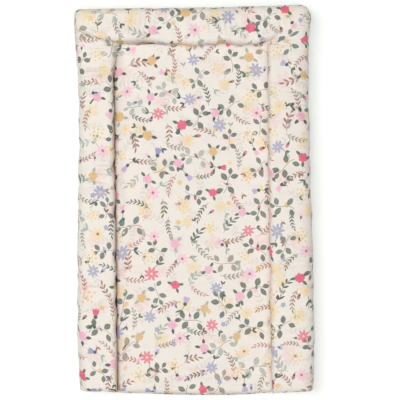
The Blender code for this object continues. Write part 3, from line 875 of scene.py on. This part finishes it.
# Height of the fine wrinkles, 0 to 1
def wrinkleHeight(s):
    x, y = [part * 1000.0 for part in s.parts(s.place())[:2]]
    wobble = s.noise(s.place(), 26.0, 2.0, 0.5)
    broken = s.limit(s.noise(s.place(), 34.0, 1.0, 0.5) * 3.4 - 1.1)
    height = 0.0
    for group in fineWrinkles:
        dx, dy = x - group["middle"][0], y - group["middle"][1]
        along = dx * math.cos(group["turn"]) + dy * math.sin(group["turn"])
        across = dy * math.cos(group["turn"]) - dx * math.sin(group["turn"])
        a, b = along / group["long"], across / group["wide"]
        patch = s.limit((1.0 - (a * a + b * b)) * 1.6)
        wave = s.maths("SINE", (across + 14.0 * wobble) * (2 * math.pi / group["pitch"]))
        height = patch * (0.5 + 0.5 * wave) * (group["pitch"] / 10.0) + height
    height = height * broken
    for crease in sharpCreases:
        (startX, startY), (endX, endY) = crease["start"], crease["end"]
        length = math.hypot(endX - startX, endY - startY)
        aheadX, aheadY = (endX - startX) / length, (endY - startY) / length
        dx, dy = x - startX, y - startY
        along = (dx * aheadX + dy * aheadY) / length
        across = abs(dy * aheadX - dx * aheadY) / crease["width"]
        within = s.limit(along * 9.0) * s.limit((1.0 - along) * 9.0)
        height = height - s.limit(1.0 - across) * within * crease["depth"]
    return height


# Smooth wipe-clean cotton: the print, a fine weave under a thin coating, small creases
def printedCotton():
    s = Finish("printed coated cotton", Specular_IOR_Level=0.42, Sheen_Weight=0.06, Sheen_Roughness=0.45)
    cloth = s.add("ShaderNodeUVMap", {"uv_map": "cloth"}).outputs[0]
    u, v = [part * 1000.0 for part in s.parts(cloth)[:2]]
    mottle = s.noise(cloth, 160.0, 3.0, 0.6)
    shade = s.noise(cloth, 14.0, 3.0, 0.55)
    colour = printFlowers(s, u, v, mottle)
    colour = s.mix(0.10 * s.limit(shade * 2.2 - 0.6), colour, seen(226, 208, 192))
    creaseShade = Signal(s, s.add("ShaderNodeAttribute", {"attribute_name": "inFold"}).outputs["Fac"])
    # Painted shade in the stitched creases: warm brown, and dark brown where a gap is left open
    colour = s.mix(0.78 * s.limit(creaseShade), colour, seen(200, 144, 118))
    colour = s.mix(0.8 * s.limit(creaseShade - 1.0), colour, seen(112, 66, 54))  # a gap left open is darker
    threads = s.maths("SINE", u * (2 * math.pi / 0.62)) * s.maths("SINE", v * (2 * math.pi / 0.62))
    colour = s.mix(0.035 * (0.5 + 0.5 * threads), colour, seen(150, 135, 120))
    s.give(Base_Color=colour, Roughness=0.44 + 0.14 * shade + 0.02 * threads)
    weave = s.bump(threads * 0.5 + 0.5, 0.06 * mm, 0.6)
    creases = s.noise(s.stretched(cloth, 60.0, 200.0, 1.0), 1.0, 3.0, 0.6)
    soft = s.bump(creases, 0.8 * mm, 0.5, under=weave)
    s.give(Normal=s.bump(wrinkleHeight(s), 1.3 * mm, 1.0, under=soft))
    return s.material


# Plain tightly woven cloth for the underside
def plainCotton():
    s = Finish("plain woven cotton", Sheen_Weight=0.08)
    x, y, z = s.parts(s.place())
    turns = 2 * math.pi / (0.9 * mm)
    threads = s.maths("SINE", (x + z) * turns) * s.maths("SINE", (y + z) * turns)
    cloudy = s.noise(s.place(), 22.0, 4.0, 0.6)
    slubs = s.noise(s.place(), 420.0, 2.0, 0.7)
    colour = s.mix(cloudy, seen(238, 232, 222), seen(228, 220, 208))
    colour = s.mix(0.16 * slubs + 0.05 * threads, colour, seen(206, 196, 182))
    s.give(Base_Color=colour, Roughness=0.66 + 0.14 * slubs)
    s.give(Normal=s.bump(threads * 0.5 + 0.3 * slubs, 0.12 * mm, 0.7))
    return s.material


# Cut foam: small open cells
def cutFoam():
    s = Finish("cut foam")
    cells = s.add("ShaderNodeTexVoronoi", {}, {"Vector": s.place(), "Scale": 900.0})
    depth = Signal(s, cells.outputs["Distance"])
    aged = s.noise(s.place(), 12.0, 3.0, 0.6)
    colour = s.mix(aged, seen(245, 240, 222), seen(236, 226, 198))
    colour = s.mix(0.5 * depth, colour, seen(205, 192, 160))
    s.give(Base_Color=colour, Roughness=0.9 + 0.08 * depth, Normal=s.bump(depth, 0.4 * mm, 0.8))
    return s.material


# Wadding: pressed white fibres
def pressedWadding():
    s = Finish("pressed wadding")
    fibres = s.noise(s.stretched(s.place(), 1.0, 7.0, 3.0), 260.0, 5.0, 0.75)
    tufts = s.noise(s.place(), 30.0, 3.0, 0.5)
    colour = s.mix(fibres, seen(250, 250, 248), seen(228, 228, 226))
    colour = s.mix(0.3 * tufts, colour, seen(236, 234, 230))
    s.give(Base_Color=colour, Roughness=0.92 + 0.06 * tufts)
    s.give(Normal=s.bump(fibres + tufts, 1.2 * mm, 0.6))
    return s.material


# Sewing thread with its twist
def sewingThread():
    s = Finish("sewing thread", Sheen_Weight=0.1)
    x, y, z = s.parts(s.place())
    twist = s.maths("SINE", (x + y + 1.7 * z) * (2 * math.pi / (0.8 * mm)))
    dye = s.noise(s.place(), 90.0, 2.0, 0.5)
    colour = s.mix(dye, seen(222, 198, 178), seen(206, 178, 156))
    colour = s.mix(0.18 + 0.12 * twist, colour, seen(168, 140, 118))
    s.give(Base_Color=colour, Roughness=0.55 + 0.1 * twist, Normal=s.bump(twist, 0.15 * mm, 0.6))
    return s.material


# Gives a finished piece its material, smooth shading and its body
def dress(piece, material):
    piece.data.materials.clear()
    piece.data.materials.append(material)
    piece.data.shade_smooth()
    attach(piece, "root")


# The way straight in from the border, fanned out round a corner of the head end
def inwardFrom(places, room=30 * mm):
    reach = np.array([matShape["width"], matShape["length"]]) / 2 - room
    inner = np.minimum(places, reach)
    inner[..., 0] = np.maximum(inner[..., 0], -reach[0])
    way = inner - places
    return way / np.maximum(np.linalg.norm(way, axis=-1, keepdims=True), 1e-9)


# Turns the cover's border in under itself, as the seam allowance lies inside
def turnHemIn(piece, places, rows, depth):
    tall, wide = places.shape[:2]
    first = int(np.flatnonzero((rows["share"] > 0.88) & (rows["place"] < 0)).min())
    ring = [r * wide for r in range(first, tall)]
    ring += [(tall - 1) * wide + c for c in range(1, wide)]
    ring += [r * wide + wide - 1 for r in range(tall - 2, first - 1, -1)]
    flat = places.reshape(-1, 3)
    inward = inwardFrom(flat[ring][:, :2])
    mesh = bmesh.new()
    mesh.from_mesh(piece.data)
    mesh.verts.ensure_lookup_table()
    move = {mesh.verts[i]: n for i, n in zip(ring, inward)}
    edges = [e for e in mesh.edges if e.is_boundary and all(v in move for v in e.verts)]
    starts = {v.co.copy().freeze(): n for v, n in move.items()}
    grown = bmesh.ops.extrude_edge_only(mesh, edges=edges)["geom"]
    for v in [g for g in grown if isinstance(g, bmesh.types.BMVert)]:
        n = starts[v.co.copy().freeze()]
        v.co.x += n[0] * depth
        v.co.y += n[1] * depth
    mesh.to_mesh(piece.data)
    mesh.free()


cotton, plain = printedCotton(), plainCotton()
foam, wadding, thread = cutFoam(), pressedWadding(), sewingThread()
print("finishes mixed")

normals = np.zeros(len(top.data.vertices) * 3)
top.data.vertices.foreach_get("normal", normals)
normals = normals.reshape(cover.shape)
inCorner = (np.abs(cover[..., 0]) > matShape["width"] / 2 - 30 * mm) \
    & (cover[..., 1] > matShape["length"] / 2 - 30 * mm)
steep = smooth(matShape["bulgeHeight"], matShape["rollHeight"], cover[..., 2:])
fanned = np.concatenate([-inwardFrom(cover[..., :2]) * (1 - steep), steep], axis=-1)
fanned /= np.maximum(np.linalg.norm(fanned, axis=-1, keepdims=True), 1e-9)
normals = np.where(inCorner[..., None], fanned, normals)
turnHemIn(top, cover, rows, matShape["turnedIn"])
wall = top.modifiers.new("Cloth thickness", "SOLIDIFY")
wall.thickness, wall.offset = printedCover["thickness"], -1.0
applyAll(top)
dress(top, cotton)
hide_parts("top_cover")
print("printed cover", len(top.data.polygons), "faces")


# The foam rolls and the pad under the cover
fillings = dict(
    gap=1.3 * mm,  # between a filling and the cloth round it
    floor=1.3 * mm,
    shelf=15.8 * mm,  # clear of the cloth turned in at the edge seam
    shelfShare=0.75,  # the shelf's most, as a share of the filling's height there
    shelfRun=12 * mm,  # how far in from the foot's border the shelf and the floor start
    floorRun=18 * mm,
    channel=4.5 * mm,  # beside the channels in the base cover
    keepEvery=2,
)


# A block of filling: the cover's inner face between two columns and two rows, let down to the floor
def filling(name, columnRange, rowRange, rings, material, node):
    every = fillings["keepEvery"]
    c = np.unique([*range(columnRange[0], columnRange[1], every), columnRange[1]])
    r = np.unique([*range(rowRange[0], rowRange[1], every), rowRange[1]])
    skin = (cover - normals * fillings["gap"])[np.ix_(r, c)]
    plan = plainPlan[np.ix_(r, c)]
    tall, wide = skin.shape[:2]
    ring = [(0, i) for i in range(wide)] + [(j, wide - 1) for j in range(1, tall)]
    ring += [(tall - 1, i) for i in range(wide - 2, -1, -1)] + [(j, 0) for j in range(tall - 2, 0, -1)]
    number = np.arange(tall * wide).reshape(tall, wide)
    points = skin.reshape(-1, 3).tolist()
    cells = np.stack([number[:-1, :-1], number[:-1, 1:], number[1:, 1:], number[1:, :-1]], -1)
    faces = cells.reshape(-1, 4).tolist()
    above = [int(number[spot]) for spot in ring]
    for lowX, highX, lowY, highY, height in rings:
        below = []
        for spot in ring:
            x, y = plan[spot]
            x, y = onOutline(np.clip(x, lowX, highX), np.clip(y, lowY, highY))
            skinHeight = points[above[len(below)]][2]
            z = height if height == fillings["floor"] else min(height, fillings["shelfShare"] * skinHeight)
            below.append(len(points))
            points.append([float(x), float(y), float(z)])
        for i in range(len(ring)):
            k = (i + 1) % len(ring)
            faces.append([above[k], above[i], below[i], below[k]])
        above = below
    faces.append(above[::-1])
    mesh = bpy.data.meshes.new(name)
    mesh.from_pydata(points, [], faces)
    piece = bpy.data.objects.new(name, mesh)
    bpy.context.scene.collection.objects.link(piece)
    work = bmesh.new()
    work.from_mesh(mesh)
    bmesh.ops.remove_doubles(work, verts=work.verts, dist=0.05 * mm)
    bmesh.ops.triangulate(work, faces=[f for f in work.faces if len(f.verts) > 4])
    bmesh.ops.recalc_face_normals(work, faces=work.faces)
    work.to_mesh(mesh)
    work.free()
    dress(piece, material)
    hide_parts(node)
    return piece


w, l = matShape["width"] / 2, matShape["length"] / 2
land = matShape["seamLand"] / 2
plainPlan = np.stack(np.broadcast_arrays(
    columns["place"][None, :] + 0 * rows["place"][:, None],
    rows["place"][:, None] + 0 * columns["place"][None, :]), -1)
bulge = int(np.flatnonzero(columns["body"] >= matShape["bulgeHeight"] - 1e-5).min())
leftWall = int(landColumns[0]) - 3
rightBulge, rightWall = cover.shape[1] - 1 - bulge, cover.shape[1] - 1 - leftWall
footRow = int(np.flatnonzero(rows["share"] > 0.5).min())
landRows = np.flatnonzero(rows["land"])
headBulge = int(np.flatnonzero(rows["body"] >= matShape["bulgeHeight"] - 1e-5).max())
gap, floor, shelf = fillings["gap"], fillings["floor"], fillings["shelf"]
shelfInset = matShape["edgeTuck"] + matShape["turnedIn"] + gap
floorInset, channel, beside = 17.5 * mm, land + fillings["channel"] + gap, land + gap
footShelf, footFloor = [matShape["lipWidth"] - l + fillings[run] for run in ("shelfRun", "floorRun")]
seamX, seamY = matShape["sideSeam"], matShape["headSeam"]
for sign, name, ends in ((-1, "left", (bulge, leftWall)), (1, "right", (rightWall, rightBulge))):
    rings = []
    for outside, seam, height, low in ((shelfInset, beside, shelf, footShelf),
                                       (floorInset, channel, floor, footFloor)):
        lowX, highX = sorted((sign * (w - outside), sign * (seamX + seam)))
        rings.append((lowX, highX, low, seamY - seam, height))
    filling(name + "_roll_foam", ends, (footRow, int(landRows[0]) - 2), rings, foam,
                        name + "_bolster_roll")
rings = [(outside - w, w - outside, seamY + seam, l - outside, height)
         for outside, seam, height in ((shelfInset, beside, shelf), (floorInset, channel, floor))]
filling("head_roll_foam", (bulge, rightBulge), (int(landRows[-1]) + 3, headBulge), rings,
                    foam, "head_bolster_roll")
rings = [(channel - seamX, seamX - channel, footFloor, seamY - channel, floor)]
filling("pad_wadding", (int(landColumns[1]) + 2, int(landColumns[2]) - 2),
                    (footRow, int(landRows[0]) - 2), rings, wadding, "centre_pad")


# The plain cloth under the mat
baseCover = dict(
    thickness=1.0 * mm,
    seamGap=0.3 * mm,
    turnRun=13 * mm,  # how far in the border takes to come down to the floor
    channelDepth=2 * mm,
    lipLift=3 * mm,
    puckers=0.35 * mm,
    flat=(0.500, 0.800),
)


# Grid lines from one end of a reach to the other, about a step apart
def linesOfBase(reach, seams, step):
    marks = [-reach, *seams, reach]
    places = [marks[0]]
    for a, b in zip(marks, marks[1:]):
        places += np.linspace(a, b, max(2, int(round((b - a) / step)) + 1))[1:].tolist()
    return np.array(places)


# The base cover's grid: flat on the floor, with channels under the seams and a border turned up
def baseGrid():
    s, b = matShape, baseCover
    tuck = s["edgeTuck"]
    border = [0, 0.5, 1, 2, 3.2, 4.6, 6.2, 8, 10, 13]
    seamRun = [-9, -6, -4.2, -2.6, -1.5, 1.5, 2.6, 4.2, 6, 9]
    across = [w - tuck - d * mm for d in border]
    across += [seamX + d * mm for d in seamRun[::-1]]
    inner = linesOfBase(seamX - 12 * mm, [0.0], 7 * mm).tolist()
    outerBand = np.linspace(w - tuck - 16 * mm, seamX + 12 * mm, 9).tolist()
    x = np.unique(np.round([*across, *outerBand, *inner, *[-a for a in across + outerBand]], 7))
    along = [l - tuck - d * mm for d in border] + [seamY + d * mm for d in seamRun]
    along += np.linspace(seamY + 12 * mm, l - tuck - 16 * mm, 7).tolist()
    along += [s["lipWidth"] - l + d * mm for d in (-3.4, -1.7, 0, 0.3, 1, 2, 3.5, 5.5, 8, 12, 15)]
    along += np.linspace(-l + 21 * mm, seamY - 12 * mm, 98).tolist()
    y = np.unique(np.round(along, 7))
    x, y = np.meshgrid(x, y)
    share = footShare(y + l - s["lipWidth"])
    inset = np.minimum(w - tuck - np.abs(x), l - tuck - y)
    turned = share >= 0.88
    both = printedCover["thickness"] + b["thickness"]
    edge = s["lipHeight"] + (s["edgeHeight"] - s["lipHeight"]) * share - b["seamGap"]
    edge = edge - np.where(turned, 0, both * (1 + 2 * share))
    curl = np.clip(1 - inset / b["turnRun"], 0, 1) ** 3.5
    groove = lambda away: b["channelDepth"] * smooth(6 * mm, 1.4 * mm, np.abs(away))
    side = groove(np.abs(x) - seamX) * (y < seamY + 2 * mm)
    head = groove(y - seamY) * (np.abs(x) < seamX + 2 * mm)
    ripple = b["puckers"] * np.sin(y / mm * 0.55 + 3 * np.sin(x / mm * 0.021)) \
        * np.exp(-np.abs(np.abs(x) - seamX) / (9 * mm)) * (np.abs(x) > 1)
    floorZ = np.maximum(np.maximum(side, head), 0) + 0 * ripple
    z = floorZ * (1 - curl) + edge * curl
    low = b["lipLift"] + (z - b["lipLift"]) * np.minimum(1, share / 0.88)
    z = np.where(inset < 1e-6, edge, low)
    x, y = onOutline(x, y)
    return np.stack([x, y, z], -1), share[:, 0]


under, underShare = baseGrid()
base = gridPiece("plain_base", under)
turnHemIn(base, under, dict(share=underShare, place=np.where(underShare < 0.999, -1.0, 1.0)),
          matShape["turnedIn"])
mesh = bmesh.new()
mesh.from_mesh(base.data)
bmesh.ops.reverse_faces(mesh, faces=mesh.faces)
mesh.to_mesh(base.data)
mesh.free()
wall = base.modifiers.new("Cloth thickness", "SOLIDIFY")
wall.thickness, wall.offset = baseCover["thickness"], -1.0
applyAll(base)
dress(base, plain)
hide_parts("base_cover")
print("base cover", len(base.data.polygons), "faces")


# The rows of stitches
stitches = dict(
    pitch=4.0 * mm,
    length=3.3 * mm,
    thick=0.8 * mm,
    lift=0.45 * mm,
)


# One stitch: a short round of thread whose ends go down into the cloth
def stitchShape():
    t = stitches
    bpy.ops.mesh.primitive_uv_sphere_add(segments=7, ring_count=6, radius=0.5)
    piece = bpy.context.object
    bpy.ops.object.mode_set(mode="EDIT")
    bpy.ops.mesh.select_all(action="SELECT")
    bpy.ops.transform.rotate(value=math.pi / 2, orient_axis="Y", center_override=(0, 0, 0))
    bpy.ops.transform.resize(value=(t["length"], t["thick"], t["thick"]),
                             center_override=(0, 0, 0))
    bpy.ops.object.mode_set(mode="OBJECT")
    for v in piece.data.vertices:
        end = abs(v.co.x) / (t["length"] / 2)
        v.co.z -= t["thick"] * 0.55 * end ** 3
    return piece


# A row of stitches along a line of points. Their crowns face the side given by up.
def stitchRow(name, points, up, node):
    t = stitches
    points = np.array(points, float)
    arc = np.concatenate([[0], np.cumsum(np.linalg.norm(np.diff(points, axis=0), axis=1))])
    count = int(arc[-1] // t["pitch"])
    spots = (np.arange(count) + 0.5) * (arc[-1] / count)
    at = lambda s: np.stack([np.interp(s, arc, points[:, i]) for i in range(3)], -1)
    half = t["length"] / 2
    ahead, middle = at(np.minimum(spots + half, arc[-1])) - at(np.maximum(spots - half, 0)), at(spots)
    first = stitchShape()
    rows = []
    for place, way in zip(middle, ahead):
        one = first.copy()
        one.data = first.data.copy()
        x = Vector(way).normalized()
        z = (Vector(up) - Vector(up).dot(x) * x).normalized()
        y = z.cross(x)
        turn = [(x[i], y[i], z[i], place[i] + up[i] * t["lift"]) for i in range(3)]
        one.data.transform(Matrix([*turn, (0, 0, 0, 1)]))
        bpy.context.scene.collection.objects.link(one)
        rows.append(one)
    bpy.data.objects.remove(first)
    bpy.ops.object.select_all(action="DESELECT")
    for one in rows:
        one.select_set(True)
    bpy.context.view_layer.objects.active = rows[0]
    bpy.ops.object.join()
    piece = bpy.context.object
    piece.name = piece.data.name = name
    dress(piece, thread)
    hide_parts(node)
    return piece


sideRows = np.flatnonzero((np.abs(cornerAway[:, landColumns[0]]) > 17 * mm)
                          & (rows["place"] < seamY)
                          & (rows["place"] > matShape["lipWidth"] - l - 4 * mm))
for name, a, b, sign in (("left", landColumns[0], landColumns[1], -1),
                         ("right", landColumns[2], landColumns[3], 1)):
    line = [(cover[r, a] + cover[r, b]) / 2 for r in range(sideRows.min(), sideRows.max() + 1)]
    stitchRow(name + "_seam_stitches", line, (0, 0, 1), name + "_seam_needle_thread")
    low = [(*onOutline(np.array(p[0] * 0 + sign * seamX), np.array(p[1])),
            baseCover["channelDepth"]) for p in line]
    stitchRow(name + "_seam_under_stitches", low, (0, 0, -1), name + "_seam_bobbin_thread")
headColumns = np.flatnonzero((cornerAway[landRows[0], :] > 17 * mm)
                             & (np.abs(columns["place"]) < seamX))
line = [(cover[landRows[0], c] + cover[landRows[-1], c]) / 2 for c in headColumns]
stitchRow("head_seam_stitches", line, (0, 0, 1), "head_seam_needle_thread")
low = [(p[0], float(onOutline(np.array(p[0]), np.array(seamY))[1]), baseCover["channelDepth"])
       for p in line]
stitchRow("head_seam_under_stitches", low, (0, 0, -1), "head_seam_bobbin_thread")
across = np.linspace(16 * mm - w, w - 16 * mm, 60)
lipX, lipY = onOutline(across, np.full(60, matShape["lipWidth"] / 2 - l))
stitchRow("foot_seam_stitches", np.stack([lipX, lipY, 0 * lipX + matShape["lipHeight"]], -1),
          (0, 0, 1), "foot_seam_needle_thread")
stitchRow("foot_seam_under_stitches", np.stack([lipX, lipY, 0 * lipX + baseCover["lipLift"]], -1),
          (0, 0, -1), "foot_seam_bobbin_thread")
inset = matShape["edgeTuck"] + matShape["turnedIn"] / 2
sideLine = np.linspace(-l + 26 * mm, l - 20 * mm, 120)
ends = np.linspace(0, np.pi / 2, 9)[1:-1]
radius = 12 * mm
cornerX, cornerY = w - inset - radius, l - inset - radius
loop = [(-(w - inset), y) for y in sideLine if y < cornerY]
loop += [(-cornerX - radius * math.cos(a), cornerY + radius * math.sin(a)) for a in ends]
loop += [(x, l - inset) for x in np.linspace(-cornerX, cornerX, 60)]
loop += [(cornerX + radius * math.sin(a), cornerY + radius * math.cos(a)) for a in ends]
loop += [(w - inset, y) for y in sideLine[::-1] if y < cornerY]
loop = np.array(loop)
edgeX, edgeY = onOutline(loop[:, 0], loop[:, 1])
edgeZ = matShape["edgeHeight"] + printedCover["thickness"] + 0.1 * mm
stitchRow("edge_seam_stitches", np.stack([edgeX, edgeY, 0 * edgeX + edgeZ], -1), (0, 0, 1),
          "edge_seam_thread")
print("stitches sewn")


# White floor, light and camera
studio = dict(
    cameraHeight=2.60,
    pixel=2.021 * mm,  # what one of the picture's 400 pixels covers at the mat's widest height
    middle=(193.3, 199.5),  # where the mat's middle lies in the picture
    turn=-0.65,  # degrees
    lampFrom=(-1.35, 0.5, 3.2),
    lampSize=2.4,
    lampPower=59.5,
    fillFrom=(0.65, -1.0, 3.45),
    fillSize=3.6,
    fillPower=52,
    sky=0.25,
    floorSize=14,
    floorGlow=0.3,  # keeps the floor white round the mat, and its shadow soft
)


def whiteFloor():
    s = Finish("white studio floor", Roughness=0.9, Specular_IOR_Level=0.0)
    grain = s.noise(s.place(), 40.0, 2.0, 0.5)
    s.give(Base_Color=s.mix(grain, seen(232, 236, 232), seen(234, 238, 234)))
    path = s.add("ShaderNodeLightPath").outputs
    direct = s.limit(Signal(s, path["Is Camera Ray"]) + Signal(s, path["Is Glossy Ray"])
                     + Signal(s, path["Is Transmission Ray"]))
    glow = s.add("ShaderNodeEmission", {}, {"Color": (1, 1, 1, 1), "Strength": studio["floorGlow"]})
    dark = s.add("ShaderNodeEmission", {}, {"Color": (0, 0, 0, 1), "Strength": 0.0})
    lit = s.add("ShaderNodeMixShader", {}, {0: direct, 1: dark.outputs[0], 2: glow.outputs[0]})
    both = s.add("ShaderNodeAddShader", {}, {0: s.shader.outputs[0], 1: lit.outputs[0]})
    output = next(n for n in s.tree.nodes if n.type == "OUTPUT_MATERIAL")
    s.feed(output.inputs["Surface"], both.outputs[0])
    return s.material


bpy.ops.object.select_all(action="DESELECT")
bpy.ops.mesh.primitive_plane_add(size=studio["floorSize"])
ground = bpy.context.object
ground.name = "studio_floor"
ground.data.materials.append(whiteFloor())


# A plain white world: full white where it is seen or mirrored, and a little light elsewhere
def whiteWorld():
    world = bpy.data.worlds.new("studio")
    bpy.context.scene.world = world
    world.use_nodes = True
    tree = world.node_tree
    dim = tree.nodes["Background"]
    full = tree.nodes.new("ShaderNodeBackground")
    for background, strength in ((dim, studio["sky"]), (full, 1)):
        background.inputs["Color"].default_value = (1, 1, 1, 1)
        background.inputs["Strength"].default_value = strength
    rays = tree.nodes.new("ShaderNodeLightPath").outputs
    direct = rays["Is Camera Ray"]
    for name in ("Is Glossy Ray", "Is Transmission Ray"):
        either = tree.nodes.new("ShaderNodeMath")
        either.operation = "MAXIMUM"
        tree.links.new(direct, either.inputs[0])
        tree.links.new(rays[name], either.inputs[1])
        direct = either.outputs[0]
    chosen = tree.nodes.new("ShaderNodeMixShader")
    for number, socket in enumerate((direct, dim.outputs[0], full.outputs[0])):
        tree.links.new(socket, chosen.inputs[number])
    tree.links.new(chosen.outputs[0], tree.nodes["World Output"].inputs["Surface"])


def softLamp(name, start):
    place = Vector(studio[start + "From"])
    bpy.ops.object.light_add(type="AREA", location=place)
    lamp = bpy.context.object
    lamp.name = name
    lamp.data.shape = "DISK"
    lamp.data.size = studio[start + "Size"]
    lamp.data.energy = studio[start + "Power"]
    lamp.rotation_euler = (-place).to_track_quat("-Z", "Y").to_euler()


whiteWorld()
softLamp("soft_key", "lamp")
softLamp("soft_fill", "fill")

reach = studio["cameraHeight"] - matShape["bulgeHeight"]
camera = bpy.data.objects.new("camera", bpy.data.cameras.new("camera"))
bpy.context.scene.collection.objects.link(camera)
camera.data.sensor_width = 36
camera.data.lens = 36 * reach / (400 * studio["pixel"])
turn = math.radians(studio["turn"])
offX = (200 - studio["middle"][0]) * studio["pixel"]
offY = (studio["middle"][1] - 200) * studio["pixel"]
camera.location = (offX * math.cos(turn) - offY * math.sin(turn),
                   offX * math.sin(turn) + offY * math.cos(turn), studio["cameraHeight"])
camera.rotation_euler = (0, 0, turn)
camera.data.clip_end = 50
bpy.context.scene.camera = camera
bpy.context.scene.view_settings.view_transform = "Standard"
